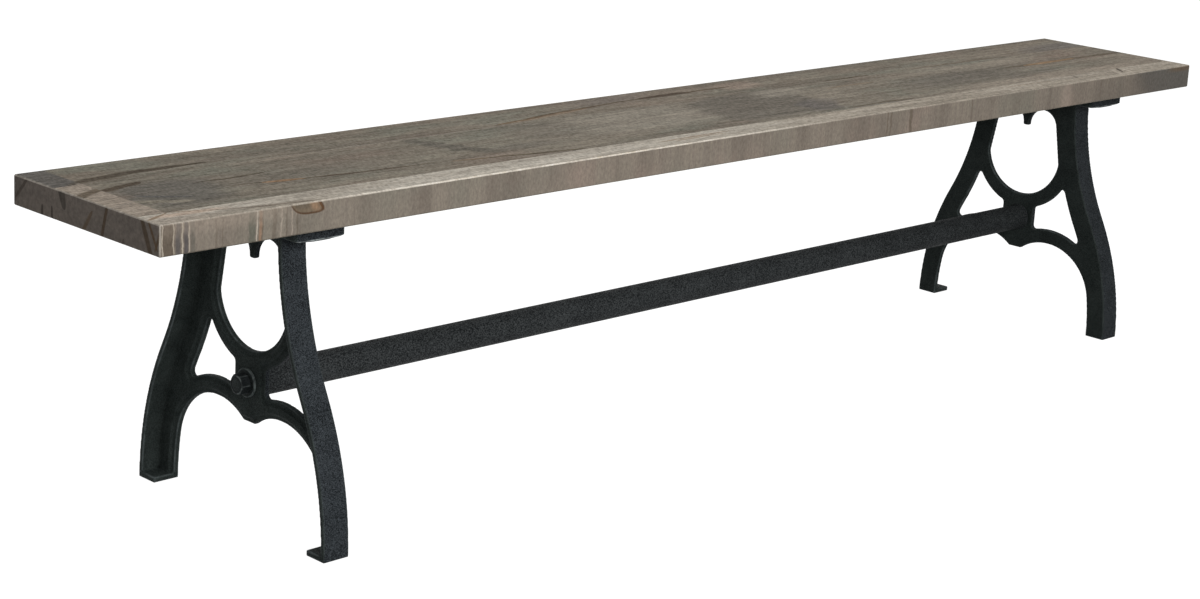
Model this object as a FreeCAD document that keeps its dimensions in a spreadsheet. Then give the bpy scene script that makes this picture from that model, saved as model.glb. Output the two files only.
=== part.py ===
import FreeCAD, Part
import math
import os

# Dining bench: a glued-up wooden seat on two cast-iron ends, held apart by a pipe and drawn together by the
# rod inside it, which has a washer and a nut on each hub.
# X runs along the seat, -Y is the front, Z is up, and the origin is on the floor under the middle of the seat.
# Each casting is drawn in its own frame: flat inner face at X = 0, outer side towards +X, hub on Y = 0.

SIZES = {
    # seat
    "seat_length": 2133.6,
    "seat_depth": 304.8,
    "seat_thickness": 38.1,
    "seat_edge_ease": 1.5,
    "seat_overhang": 213.8,
    "front_board_width": 45.7,
    "rear_board_width": 88.5,
    # leg casting, outer sweep from the floor to the seat
    "leg_height": 404.8,
    "foot_spread": 391.0,
    "top_spread": 194.0,
    "sweep_brow": 8.0,
    "sweep_turn_drop": 209.8,
    "strut_depth": 35.0,
    # leg casting, openings, from the seat down
    "band_width": 24.0,
    "scallop_radius": 27.6,
    "scallop_drop": 65.4,
    "nub_width": 11.5,
    "nub_length": 3.0,
    "nub_corner": 2.5,
    "ring_radius": 73.1,
    "ring_drop": 115.0,
    "shoulder_radius": 25.0,
    "shoulder_sink": 10.8,
    "spandrel_height": 76.4,
    "arch_radius": 90.0,
    "keel_depth": 18.3,
    "hub_width": 63.0,
    "hub_rise": 53.0,
    "window_corner": 6.0,
    # leg casting, thicknesses
    "web_thickness": 8.0,
    "relief_height": 3.5,
    "relief_inset": 4.5,
    "relief_root": 1.0,
    "flange_width": 38.7,
    "flange_thickness": 7.0,
    "rail_thickness": 9.0,
    "sole_thickness": 7.5,
    # mounting lugs under the seat
    "lug_projection": 29.0,
    "lug_root": 19.0,
    "lug_thickness": 18.0,
    "lug_crown": 2.5,
    "lug_reach_in": 38.0,
    "lug_reach_out": 51.0,
    "lug_corner": 5.0,
    "spot_face_depth": 3.5,
    "spot_face_room": 2.0,
    # lag screws and their washers
    "screw_diameter": 6.35,
    "screw_grip": 25.0,
    "screw_head_flats": 11.1,
    "screw_head_height": 4.4,
    "screw_washer_diameter": 16.0,
    "screw_washer_thickness": 1.6,
    # stretcher and the rod that clamps it
    "pipe_diameter": 41.3,
    "pipe_wall": 3.5,
    "socket_depth": 3.0,
    "rod_diameter": 15.9,
    "rod_proud": 1.0,
    "hub_washer_diameter": 38.0,
    "hub_washer_thickness": 3.5,
    "hub_nut_flats": 24.0,
    "hub_nut_height": 13.9,
    # clearances on the radius
    "hole_clearance": 0.5,
    "fit_clearance": 0.1,
}

X_AXIS = FreeCAD.Vector(1, 0, 0)
Y_AXIS = FreeCAD.Vector(0, 1, 0)
Z_AXIS = FreeCAD.Vector(0, 0, 1)
ORIGIN = FreeCAD.Vector(0, 0, 0)
ALONG_X = FreeCAD.Rotation(Y_AXIS, 90)
TOUCH = 0.01

doc = FreeCAD.newDocument("dining_bench")
sheet = doc.addObject("Spreadsheet::Sheet", "sizes")
for row, (alias, value) in enumerate(SIZES.items(), start=1):
    sheet.set(f"A{row}", alias)
    sheet.set(f"B{row}", str(value))
    sheet.setAlias(f"B{row}", alias)
doc.recompute()


def size(alias):
    return float(sheet.get(alias))


# Drawing helpers: flat faces in the casting's own YZ plane

def spot(y, z):
    return FreeCAD.Vector(0, y, z)


def line(start, end):
    return Part.LineSegment(start, end).toShape()


def polar(centre, radius, angle):
    return centre + spot(radius * math.cos(angle), radius * math.sin(angle))


def arc(centre, radius, first, last):
    middle = (first + last) / 2
    return Part.Arc(
        polar(centre, radius, first), polar(centre, radius, middle), polar(centre, radius, last)
    ).toShape()


def disc(centre, radius):
    return Part.Face(Part.Wire(Part.Circle(centre, X_AXIS, radius).toShape()))


def face_of(edges):
    return Part.Face(Part.Wire(Part.__sortEdges__(edges)))


def both_sides(edges):
    return face_of(edges + [edge.mirror(ORIGIN, Y_AXIS) for edge in edges])


def rectangle(start, end, across, corner=0.0):
    """A face from start to end, square to the axis across, with its corners rounded."""
    if across == X_AXIS:
        corners = [start, spot(end.y, start.z), end, spot(start.y, end.z)]
    else:
        corners = [
            start,
            FreeCAD.Vector(end.x, start.y, start.z),
            end,
            FreeCAD.Vector(start.x, end.y, start.z),
        ]
    face = Part.Face(Part.makePolygon(corners + corners[:1]))
    return rounded(face, corner) if corner else face


def rounded(face, radius):
    """Rounds the outward corners of a flat face."""
    return face.makeOffset2D(-radius).makeOffset2D(radius).Faces[0]


# Document helpers

def profile(name, face):
    feature = doc.addObject("Part::Feature", name)
    feature.Shape = face
    return feature


def extrusion(name, face, direction, length):
    solid = doc.addObject("Part::Extrusion", name)
    solid.Base = profile(name + "_profile", face)
    solid.DirMode = "Custom"
    solid.Dir = direction
    solid.Solid = True
    solid.setExpression("LengthFwd", length)
    return solid


def fused(name, pieces):
    solid = doc.addObject("Part::MultiFuse", name)
    solid.Shapes = pieces
    solid.Refine = True
    return solid


def cut(name, base, tool):
    solid = doc.addObject("Part::Cut", name)
    solid.Base = base
    solid.Tool = tool
    solid.Refine = True
    return solid


def common(name, base, tool):
    solid = doc.addObject("Part::Common", name)
    solid.Base = base
    solid.Tool = tool
    return solid


def group(name, pieces):
    compound = doc.addObject("Part::Compound", name)
    compound.Links = pieces
    return compound


def cylinder(name, radius, height, place):
    solid = doc.addObject("Part::Cylinder", name)
    solid.setExpression("Radius", radius)
    solid.setExpression("Height", height)
    solid.Placement = place
    return solid


def hexagon(name, flats, height, place):
    solid = doc.addObject("Part::Prism", name)
    solid.Polygon = 6
    solid.setExpression("Circumradius", f"{flats} / 2 / cos(30 deg)")
    solid.setExpression("Height", height)
    solid.Placement = place
    return solid


def at_hub(x):
    """A place on the hub's axis, pointing outwards."""
    return FreeCAD.Placement(FreeCAD.Vector(x, 0, hub_height()), ALONG_X)


def upright(x, y, z):
    return FreeCAD.Placement(FreeCAD.Vector(x, y, z), FreeCAD.Rotation())


# Where things are, from the sizes

def from_seat(alias):
    """The height above the floor of something measured down from the seat's underside."""
    return size("leg_height") - size(alias)


def clear_span():
    """The distance between the castings' inner faces."""
    return size("seat_length") - 2 * (size("seat_overhang") + size("flange_width"))


def arch_height():
    """The height of the arches' crowns, below the round bottom of the U opening."""
    return from_seat("ring_drop") - size("ring_radius") - size("spandrel_height")


def keel_height():
    """The height of the flat under the hub, between the two arches."""
    return arch_height() - size("keel_depth")


def hub_height():
    return keel_height() + size("hub_rise")


def hub_face():
    """How far the hub's outer face stands from the casting's inner face."""
    return size("web_thickness") + size("relief_height")


def lug_grip():
    """The thickness of a lug where a screw's washer seats."""
    return size("lug_thickness") + size("lug_crown") - size("spot_face_depth")


# Leg casting

def outer_sweep():
    """Centres and radii of the two tangent arcs of the casting's outer edge, foot arc first.

    Both arcs are upright where they end, at the floor and just under the seat.
    """
    foot = size("foot_spread") / 2
    top = size("top_spread") / 2
    rise = from_seat("sweep_brow")
    spread = foot - top
    radii = (spread**2 + rise**2) / (2 * spread)
    lean = math.asin(rise / radii)
    foot_radius = from_seat("sweep_turn_drop") / math.sin(lean)
    top_radius = radii - foot_radius
    foot_centre = spot(foot - foot_radius, 0)
    top_centre = spot(top + top_radius, rise)
    return foot_centre, foot_radius, top_centre, top_radius, lean


def sweep_edges(depth, foot_angle=0.0, top_angle=math.pi):
    """The outer edge moved inwards, from foot_angle on the foot arc to top_angle on the top arc."""
    foot_centre, foot_radius, top_centre, top_radius, lean = outer_sweep()
    lower = arc(foot_centre, foot_radius - depth, foot_angle, lean)
    upper = arc(top_centre, top_radius + depth, math.pi + lean, top_angle)
    return lower, upper


def casting_outline():
    """The casting's whole outline, feet to seat, before any opening."""
    foot = spot(size("foot_spread") / 2, 0)
    brow = spot(size("top_spread") / 2, from_seat("sweep_brow"))
    corner = spot(brow.y, size("leg_height"))
    edges = [line(ORIGIN, foot), *sweep_edges(0), line(brow, corner), line(corner, spot(0, corner.z))]
    return both_sides(edges)


def arch_centre():
    """Centre of the arch beside the hub, which runs smoothly into the strut's inner edge."""
    foot_centre, foot_radius, *_ = outer_sweep()
    height = arch_height() - size("arch_radius")
    reach = foot_radius - size("strut_depth") - size("arch_radius")
    return spot(foot_centre.y + math.sqrt(reach**2 - height**2), height)


def arch_opening():
    """The space between the feet, carried on below the floor so that it cuts through the soles."""
    foot_centre, foot_radius, *_ = outer_sweep()
    centre = arch_centre()
    radius = size("arch_radius")
    strut_radius = foot_radius - size("strut_depth")
    meet = math.atan2(centre.z, centre.y - foot_centre.y)
    below = -math.radians(15)
    start = math.pi - math.asin((keel_height() - centre.z) / radius)
    if polar(centre, radius, start).y < TOUCH:
        start = math.acos(-centre.y / radius)
    keel = polar(centre, radius, start)
    low = polar(foot_centre, strut_radius, below)
    edges = [
        arc(centre, radius, start, meet),
        arc(foot_centre, strut_radius, meet, below),
        line(low, spot(0, low.z)),
    ]
    if keel.y > TOUCH:
        edges.append(line(spot(0, keel.z), keel))
    return both_sides(edges)


def ring_opening():
    """The U-shaped opening: a round bottom, leaning sides, two scallops and the nub between them."""
    ring_centre = spot(0, from_seat("ring_drop"))
    ring_radius = size("ring_radius")
    shoulder_radius = size("shoulder_radius")
    shoulder_angle = -math.asin(size("shoulder_sink") / (ring_radius - shoulder_radius))
    shoulder = polar(ring_centre, ring_radius - shoulder_radius, shoulder_angle)
    scallop_radius = size("scallop_radius")
    nub = size("nub_width") / 2
    scallop = spot(nub + scallop_radius, from_seat("scallop_drop"))
    run = scallop - shoulder
    tilt = math.acos((shoulder_radius - scallop_radius) / run.Length)
    side_angle = math.atan2(run.z, run.y) - tilt
    tip = scallop.z - size("nub_length")
    corner = size("nub_corner")
    edges = [
        arc(ring_centre, ring_radius, -math.pi / 2, shoulder_angle),
        arc(shoulder, shoulder_radius, shoulder_angle, side_angle),
        line(polar(shoulder, shoulder_radius, side_angle), polar(scallop, scallop_radius, side_angle)),
        arc(scallop, scallop_radius, side_angle, math.pi),
        line(spot(nub, scallop.z), spot(nub, tip + corner)),
        arc(spot(nub - corner, tip + corner), corner, 0, -math.pi / 2),
        line(spot(nub - corner, tip), spot(0, tip)),
    ]
    return both_sides(edges)


def window_opening():
    """The three-sided window between hub, strut, U ring and arch, on the +Y side."""
    ring_centre = spot(0, from_seat("ring_drop"))
    arch = arch_centre()
    foot_centre, foot_radius, top_centre, top_radius, _ = outer_sweep()
    depth = size("strut_depth")
    hub = size("hub_width") / 2
    low_angle = math.asin(arch.z / (foot_radius - depth))
    high_angle = math.pi + math.asin((top_centre.z - ring_centre.z) / (top_radius + depth))
    lower, upper = sweep_edges(depth, low_angle, high_angle)
    low = polar(foot_centre, foot_radius - depth, low_angle)
    high = polar(top_centre, top_radius + depth, high_angle)
    bay = face_of([
        line(spot(hub, low.z), low),
        lower,
        upper,
        line(high, spot(hub, high.z)),
        line(spot(hub, high.z), spot(hub, low.z)),
    ])
    ring = disc(ring_centre, size("ring_radius") + size("band_width"))
    spandrel = disc(arch, size("arch_radius") + size("band_width"))
    return rounded(bay.cut([ring, spandrel]).Faces[0], size("window_corner"))


def openings():
    window = window_opening()
    return [arch_opening(), ring_opening(), window, window.mirror(ORIGIN, Y_AXIS)]


def web_face():
    return casting_outline().cut(openings()).Faces[0]


def flange_face():
    """The flange along one outer edge, seen from the end of the bench."""
    thickness = size("flange_thickness")
    foot = size("foot_spread") / 2
    top = size("top_spread") / 2
    brow = from_seat("sweep_brow")
    height = size("leg_height")
    return face_of([
        line(spot(foot - thickness, 0), spot(foot, 0)),
        *sweep_edges(0),
        line(spot(top, brow), spot(top, height)),
        line(spot(top, height), spot(top - thickness, height)),
        line(spot(top - thickness, height), spot(top - thickness, brow)),
        *sweep_edges(thickness),
    ])


def relief_limit(opening):
    """Where the raised band stops around an opening. It leaves out the nub, which is too narrow for its slopes."""
    slopes = 1.05 * size("relief_height")
    return opening.makeOffset2D(size("relief_inset") + slopes).makeOffset2D(-slopes)


def relief(name):
    """The raised band that follows every member of the casting on its outer side, with sloped shoulders.

    Its root is sunk in the web, so that the slopes start at the web's own face.
    """
    outline = casting_outline()
    raised_face = outline.cut([relief_limit(opening) for opening in openings()]).Faces[0]
    raised = extrusion(name + "_block", raised_face, X_AXIS, "sizes.relief_root + sizes.relief_height")
    raised.Base.setExpression("Placement.Base.x", "sizes.web_thickness - sizes.relief_root")
    doc.recompute()
    outline.translate(X_AXIS * hub_face())

    def borders_opening(edge):
        middle = Part.Vertex(edge.valueAt((edge.FirstParameter + edge.LastParameter) / 2))
        return middle.X > hub_face() - TOUCH and middle.distToShape(outline.OuterWire)[0] > TOUCH

    slope = size("relief_height")
    sloped = doc.addObject("Part::Chamfer", name)
    sloped.Base = raised
    sloped.Edges = [
        (number, slope, slope)
        for number, edge in enumerate(raised.Shape.Edges, start=1)
        if borders_opening(edge)
    ]
    return sloped


def lug(name, start, end, side):
    """A lug that stands forward of a strut's top and past one of its faces, with a bellied underside."""
    height = size("leg_height")
    thickness = size("lug_thickness")
    top = size("top_spread") / 2
    near = side * (top - size("lug_root"))
    far = side * (top + size("lug_projection"))
    low = height - thickness
    belly = FreeCAD.Vector((start + end) / 2, near, low - size("lug_crown"))
    corners = [FreeCAD.Vector(x, near, z) for x, z in ((start, low), (start, height), (end, height), (end, low))]
    edges = [line(first, second) for first, second in zip(corners, corners[1:])]
    edges.append(Part.Arc(corners[3], belly, corners[0]).toShape())
    bar = extrusion(name + "_bar", face_of(edges), Y_AXIS * side, "sizes.lug_root + sizes.lug_projection")
    plan = rectangle(
        FreeCAD.Vector(start, min(near, far), height),
        FreeCAD.Vector(end, max(near, far), height),
        Z_AXIS,
        size("lug_corner"),
    )
    pad = extrusion(name + "_pad", plan, -Z_AXIS, "sizes.lug_thickness + sizes.lug_crown")
    return common(name, bar, pad)


def lug_spans():
    """Where each lug starts and ends along X: the +Y lug reaches inwards, the -Y lug outwards."""
    width = size("flange_width")
    return {1: (-size("lug_reach_in"), width), -1: (0.0, width + size("lug_reach_out"))}


def screw_spot(side):
    """Where a lug's screw goes: in the part of the lug beyond the strut's face, clear for a wrench."""
    start, end = lug_spans()[side]
    x = start / 2 if side > 0 else (size("flange_width") + end) / 2
    y = size("top_spread") / 2 + (size("lug_projection") - size("lug_root")) / 2
    return x, side * y


def leg_casting(label):
    web = web_face()
    height = size("leg_height")
    top = size("top_spread") / 2
    foot = size("foot_spread") / 2
    flange = flange_face()
    sole = web.common(rectangle(spot(-foot, 0), spot(foot, size("sole_thickness")), X_AXIS))
    rail = rectangle(spot(-top, height - size("rail_thickness")), spot(top, height), X_AXIS)
    members = [
        extrusion(label + "_web", web, X_AXIS, "sizes.web_thickness"),
        relief(label + "_relief"),
        extrusion(label + "_flange_a", flange, X_AXIS, "sizes.flange_width"),
        extrusion(label + "_flange_b", flange.mirror(ORIGIN, Y_AXIS), X_AXIS, "sizes.flange_width"),
        extrusion(label + "_rail", rail, X_AXIS, "sizes.flange_width"),
    ]
    for number, face in enumerate(sole.Faces):
        members.append(extrusion(f"{label}_sole_{number}", face, X_AXIS, "sizes.flange_width"))
    for side, (start, end) in lug_spans().items():
        members.append(lug(f"{label}_lug_{'in' if side > 0 else 'out'}", start, end, side))
    blank = fused(label + "_blank", members)
    bores = [
        cylinder(
            label + "_bore",
            "sizes.rod_diameter / 2 + sizes.hole_clearance",
            "sizes.web_thickness + sizes.relief_height",
            at_hub(0),
        ),
        cylinder(
            label + "_socket", "sizes.pipe_diameter / 2 + sizes.hole_clearance", "sizes.socket_depth", at_hub(0)
        ),
    ]
    for side in lug_spans():
        x, y = screw_spot(side)
        hole = f"{label}_screw_{'in' if side > 0 else 'out'}"
        bores.append(cylinder(
            hole + "_hole",
            "sizes.screw_diameter / 2 + sizes.hole_clearance",
            "sizes.lug_thickness + sizes.lug_crown - sizes.spot_face_depth",
            upright(x, y, height - lug_grip()),
        ))
        bores.append(cylinder(
            hole + "_spot_face",
            "sizes.screw_washer_diameter / 2 + sizes.spot_face_room",
            "sizes.spot_face_depth",
            upright(x, y, height - size("lug_thickness") - size("lug_crown")),
        ))
    return cut(label, blank, fused(label + "_bores", bores))


# Fasteners, drawn in the casting's frame

def tube(name, outer, inner, thickness, place):
    """A round piece with a round hole through it: a washer, a plug or the pipe."""
    blank = cylinder(name + "_blank", outer, thickness, place)
    hole = cylinder(name + "_hole", inner, thickness, place)
    return cut(name, blank, hole)


def hub_washer(label):
    return tube(
        label,
        "sizes.hub_washer_diameter / 2",
        "sizes.rod_diameter / 2 + sizes.hole_clearance",
        "sizes.hub_washer_thickness",
        at_hub(hub_face()),
    )


def hub_nut(label):
    place = at_hub(hub_face() + size("hub_washer_thickness"))
    prism = hexagon(label + "_prism", "sizes.hub_nut_flats", "sizes.hub_nut_height", place)
    thread = cylinder(
        label + "_thread", "sizes.rod_diameter / 2 + sizes.fit_clearance", "sizes.hub_nut_height", place
    )
    return cut(label, prism, thread)


def seat_washer(name, x, y):
    return tube(
        name,
        "sizes.screw_washer_diameter / 2",
        "sizes.screw_diameter / 2 + sizes.hole_clearance",
        "sizes.screw_washer_thickness",
        upright(x, y, size("leg_height") - lug_grip() - size("screw_washer_thickness")),
    )


def lag_screw(name, x, y):
    """A hex lag screw up through a lug and its washer into the seat."""
    under_head = size("leg_height") - lug_grip() - size("screw_washer_thickness")
    shank = cylinder(
        name + "_shank",
        "sizes.screw_diameter / 2",
        "sizes.lug_thickness + sizes.lug_crown - sizes.spot_face_depth"
        " + sizes.screw_washer_thickness + sizes.screw_grip",
        upright(x, y, under_head),
    )
    head_base = upright(x, y, under_head - size("screw_head_height"))
    head = hexagon(name + "_head", "sizes.screw_head_flats", "sizes.screw_head_height", head_base)
    return fused(name, [shank, head])


# Seat

BOARD_WIDTHS = {
    "front": "sizes.front_board_width",
    "middle": "sizes.seat_depth - sizes.front_board_width - sizes.rear_board_width",
    "rear": "sizes.rear_board_width",
}


def board_limits():
    """Where each board lies across the seat: a narrow one in front, then the wide one, then the rear one."""
    edge = size("seat_depth") / 2
    front_joint = size("front_board_width") - edge
    rear_joint = edge - size("rear_board_width")
    return {"front": (-edge, front_joint), "middle": (front_joint, rear_joint), "rear": (rear_joint, edge)}


def seat_board(row_name, screw_spots):
    """One of the three boards of the seat, eased along the seat's outer edges, with pilot holes below."""
    label = f"seat_board_{row_name}"
    front, back = board_limits()[row_name]
    plank = doc.addObject("Part::Box", label + "_plank")
    plank.setExpression("Length", "sizes.seat_length")
    plank.setExpression("Width", BOARD_WIDTHS[row_name])
    plank.setExpression("Height", "sizes.seat_thickness")
    plank.Placement = upright(-size("seat_length") / 2, front, size("leg_height"))
    doc.recompute()

    def on_outside(edge):
        box = edge.BoundBox
        at_end = box.XLength < TOUCH
        at_edge = box.YLength < TOUCH and abs(abs(box.YMin) - size("seat_depth") / 2) < TOUCH
        at_glue_line = box.YLength < TOUCH and not at_edge
        return (at_end or at_edge) and not at_glue_line

    reach = size("screw_diameter") / 2 + size("fit_clearance")
    pilots = [pilot for pilot in screw_spots if front - reach < pilot.y < back + reach]
    ease = size("seat_edge_ease")
    board = doc.addObject("Part::Chamfer", label if not pilots else label + "_eased")
    board.Base = plank
    board.Edges = [
        (index, ease, ease) for index, edge in enumerate(plank.Shape.Edges, start=1) if on_outside(edge)
    ]
    if not pilots:
        return board
    holes = [
        cylinder(
            f"{label}_pilot_{index}",
            "sizes.screw_diameter / 2 + sizes.fit_clearance",
            "sizes.screw_grip + sizes.fit_clearance",
            upright(pilot.x, pilot.y, size("leg_height")),
        )
        for index, pilot in enumerate(pilots)
    ]
    return cut(label, board, fused(label + "_pilots", holes))


# Assembly: the same casting and fasteners at both ends, the left end turned half round

nodes = {}
screw_spots = []
for end_name, turn, towards in (("left", 180, -1), ("right", 0, 1)):
    washers = []
    screws = []
    for side in lug_spans():
        row_name = "rear" if side * towards > 0 else "front"
        x, y = screw_spot(side)
        washers.append(seat_washer(f"seat_washer_{end_name}_{row_name}", x, y))
        screws.append(lag_screw(f"lag_screw_{end_name}_{row_name}", x, y))
        screw_spots.append(FreeCAD.Vector(towards * (clear_span() / 2 + x), towards * y, 0))
    pieces = {
        f"leg_casting_{end_name}": leg_casting(f"leg_casting_{end_name}"),
        f"hub_washer_{end_name}": hub_washer(f"hub_washer_{end_name}"),
        f"hub_nut_{end_name}": hub_nut(f"hub_nut_{end_name}"),
        f"seat_washers_{end_name}": group(f"seat_washers_{end_name}", washers),
        f"lag_screws_{end_name}": group(f"lag_screws_{end_name}", screws),
    }
    for piece in pieces.values():
        piece.Placement = FreeCAD.Placement(
            FreeCAD.Vector(towards * clear_span() / 2, 0, 0), FreeCAD.Rotation(Z_AXIS, turn)
        )
    nodes.update(pieces)

pipe_end = clear_span() / 2 + size("socket_depth")
nodes["stretcher_pipe"] = tube(
    "stretcher_pipe",
    "sizes.pipe_diameter / 2",
    "sizes.pipe_diameter / 2 - sizes.pipe_wall",
    "sizes.seat_length - 2 * (sizes.seat_overhang + sizes.flange_width - sizes.socket_depth)",
    at_hub(-pipe_end),
)
rod_end = clear_span() / 2 + hub_face() + size("hub_washer_thickness") + size("hub_nut_height") + size("rod_proud")
nodes["tie_rod"] = cylinder(
    "tie_rod",
    "sizes.rod_diameter / 2",
    "sizes.seat_length - 2 * (sizes.seat_overhang + sizes.flange_width) + 2 * (sizes.web_thickness"
    " + sizes.relief_height + sizes.hub_washer_thickness + sizes.hub_nut_height + sizes.rod_proud)",
    at_hub(-rod_end),
)
for row_name in BOARD_WIDTHS:
    nodes[f"seat_board_{row_name}"] = seat_board(row_name, screw_spots)

doc.recompute()

# Every object has to be sound before anything is written
for thing in doc.Objects:
    if "Invalid" in thing.State or "Error" in thing.State:
        raise RuntimeError(f"{thing.Name} failed: {thing.State}")
for node, thing in nodes.items():
    thing.Label = node
    if thing.Shape.isNull() or not thing.Shape.isValid() or not thing.Shape.Solids:
        raise RuntimeError(f"{node} has no valid solid")

os.makedirs("parts", exist_ok=True)
for node, thing in nodes.items():
    thing.Shape.exportStep(f"parts/{node}.step")
    box = thing.Shape.BoundBox
    print(f"{node}: {len(thing.Shape.Solids)} solids, {thing.Shape.Volume / 1000:.1f} cm3,"
          f" x {box.XMin:.1f} to {box.XMax:.1f}, y {box.YMin:.1f} to {box.YMax:.1f},"
          f" z {box.ZMin:.1f} to {box.ZMax:.1f}")
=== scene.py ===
import math

import bmesh
import bpy
import numpy
from mathutils import Matrix, Vector


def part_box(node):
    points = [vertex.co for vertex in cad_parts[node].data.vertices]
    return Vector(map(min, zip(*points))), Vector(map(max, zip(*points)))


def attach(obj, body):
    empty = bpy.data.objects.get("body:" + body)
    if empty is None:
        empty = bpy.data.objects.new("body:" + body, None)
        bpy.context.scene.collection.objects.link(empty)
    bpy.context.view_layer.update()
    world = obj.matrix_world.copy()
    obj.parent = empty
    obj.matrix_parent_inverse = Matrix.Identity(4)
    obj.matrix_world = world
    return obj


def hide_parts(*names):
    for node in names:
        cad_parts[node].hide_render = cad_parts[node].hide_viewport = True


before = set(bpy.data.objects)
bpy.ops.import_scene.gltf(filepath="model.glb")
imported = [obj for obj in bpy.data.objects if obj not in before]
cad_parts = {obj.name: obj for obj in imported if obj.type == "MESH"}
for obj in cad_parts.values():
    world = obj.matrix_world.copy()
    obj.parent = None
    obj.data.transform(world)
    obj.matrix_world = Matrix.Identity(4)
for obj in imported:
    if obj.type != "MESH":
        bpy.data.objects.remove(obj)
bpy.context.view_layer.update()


# Leg castings: a pair of sand-cast iron legs, each one web with arched openings, a raised
# ring and a flange all round. The mould leaves every edge soft, and the dry-sprayed black
# coat leaves a fine speckle that is coarser on the flanges than on the web.
WELD = 0.00001
SKIN_SIZE = 0.0013
SKIN_PASSES = 4
SKIN_KEPT = 0.36
NOTE_PASSES = 2
FACING_OUT = 0.4
# Painted shade: where the black paint darkens towards the bench's right end, and how far.
RIGHT_SHADE_SPAN = (0.1, 0.85)
RIGHT_SHADE_MOST = 0.36
# Painted highlight: the height and the front-to-back ends of a thin glint under the front lugs.
GLINT_HEIGHT = 0.3866
GLINT_ENDS = ((-0.101, -0.106), (-0.136, -0.131))


def sheen_of(red, green, blue):
    """A colour as seen on screen, from 0 to 255, in the light values that shaders take."""
    seen = [part / 255 for part in (red, green, blue)]
    lit = [part / 12.92 if part <= 0.04045 else ((part + 0.055) / 1.055) ** 2.4 for part in seen]
    return (*lit, 1)


def put(tree, kind, fed=None, **settings):
    """A node in a tree, with its settings, and its sockets fed by values or by other sockets."""
    node = tree.nodes.new(kind)
    for name, value in settings.items():
        setattr(node, name, value)
    for name, value in (fed or {}).items():
        if isinstance(value, bpy.types.NodeSocket):
            tree.links.new(value, node.inputs[name])
        else:
            node.inputs[name].default_value = value
    return node


def made(tree, kind, fed=None, **settings):
    """What a new node gives first."""
    return put(tree, kind, fed, **settings).outputs[0]


def reckon(tree, operation, *terms):
    """One sum on numbers, each of them a value or a socket."""
    return made(tree, "ShaderNodeMath", dict(enumerate(terms)), operation=operation)


def product(tree, first, *others):
    """Several numbers multiplied together."""
    for other in others:
        first = reckon(tree, "MULTIPLY", first, other)
    return first


def apart(tree, first, second):
    """How far apart two numbers are."""
    return reckon(tree, "ABSOLUTE", reckon(tree, "SUBTRACT", first, second))


def parts_of(tree, place):
    """A place's parts along, across and up the bench."""
    return put(tree, "ShaderNodeSeparateXYZ", {"Vector": place}).outputs


def between(tree, share, first, second):
    """A colour that goes from the first to the second as the share goes from 0 to 1.

    Each of the two is a colour made before, or red, green and blue as seen on screen.
    """
    ends = [sheen_of(*end) if isinstance(end, tuple) else end for end in (first, second)]
    fed = {0: share, 6: ends[0], 7: ends[1]}
    return put(tree, "ShaderNodeMix", fed, data_type="RGBA").outputs[2]


def eased(tree, value, low, high, start=0.0, end=1.0):
    """A value that passes smoothly from start at low to end at high."""
    fed = {"Value": value, "From Min": low, "From Max": high, "To Min": start, "To Max": end}
    return made(tree, "ShaderNodeMapRange", fed, interpolation_type="SMOOTHSTEP")


def mottle(tree, place, stretch, detail=3.0, roughness=0.55, moved=(0, 0, 0)):
    """Cloudy variation, with its own number of clouds to the metre along each axis."""
    laid = made(tree, "ShaderNodeMapping", {"Vector": place, "Location": moved, "Scale": stretch})
    fed = {"Vector": laid, "Scale": 1.0, "Detail": detail, "Roughness": roughness}
    return made(tree, "ShaderNodeTexNoise", fed)


def node_group(name, kind, takes, gives):
    """An empty node group with named sockets, and its input and output sockets by name.

    A number asks for a number socket set to it, and a word for a socket of that kind.
    """
    tree = bpy.data.node_groups.new(name, kind)
    for label, wanted in takes.items():
        number = isinstance(wanted, float)
        sort = "NodeSocket" + ("Float" if number else wanted)
        socket = tree.interface.new_socket(label, in_out="INPUT", socket_type=sort)
        if number:
            socket.default_value = wanted
    for label, wanted in gives.items():
        tree.interface.new_socket(label, in_out="OUTPUT", socket_type="NodeSocket" + wanted)
    return tree, tree.nodes.new("NodeGroupInput").outputs, tree.nodes.new("NodeGroupOutput").inputs


def finish_named(name):
    """A new finish, with its tree, its shader and the place on the piece that it reads."""
    finish = bpy.data.materials.new(name)
    finish.use_nodes = True
    tree = finish.node_tree
    place = put(tree, "ShaderNodeTexCoord").outputs["Object"]
    return finish, tree, tree.nodes["Principled BSDF"], place


def group_in(tree, group, fed):
    """A shared effect placed in a finish, with its own values."""
    return put(tree, "ShaderNodeGroup", fed, node_tree=group).outputs


spray, taken, given = node_group(
    "sprayed_speckle",
    "ShaderNodeTree",
    {"Place": "Vector", "Grains per Metre": 300.0, "Clouds per Metre": 25.0, "Speckle": 1.0},
    {"Tone": "Float", "Height": "Float"},
)
fed = {"Vector": taken["Place"], "Scale": taken["Grains per Metre"]}
dots = made(spray, "ShaderNodeTexNoise", {**fed, "Detail": 2.0, "Roughness": 0.7})
dots = eased(spray, dots, 0.34, 0.68)
fed = {"Vector": taken["Place"], "Scale": taken["Clouds per Metre"]}
cloud = made(spray, "ShaderNodeTexNoise", {**fed, "Detail": 5.0, "Roughness": 0.65})
cloud = eased(spray, cloud, 0.3, 0.7)
fleck = product(spray, reckon(spray, "SUBTRACT", dots, 0.5), taken["Speckle"])
ground = reckon(spray, "MULTIPLY_ADD", cloud, 0.26, 0.37)
spray.links.new(reckon(spray, "ADD", ground, fleck), given["Tone"])
spray.links.new(reckon(spray, "MULTIPLY_ADD", cloud, 0.5, dots), given["Height"])


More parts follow.
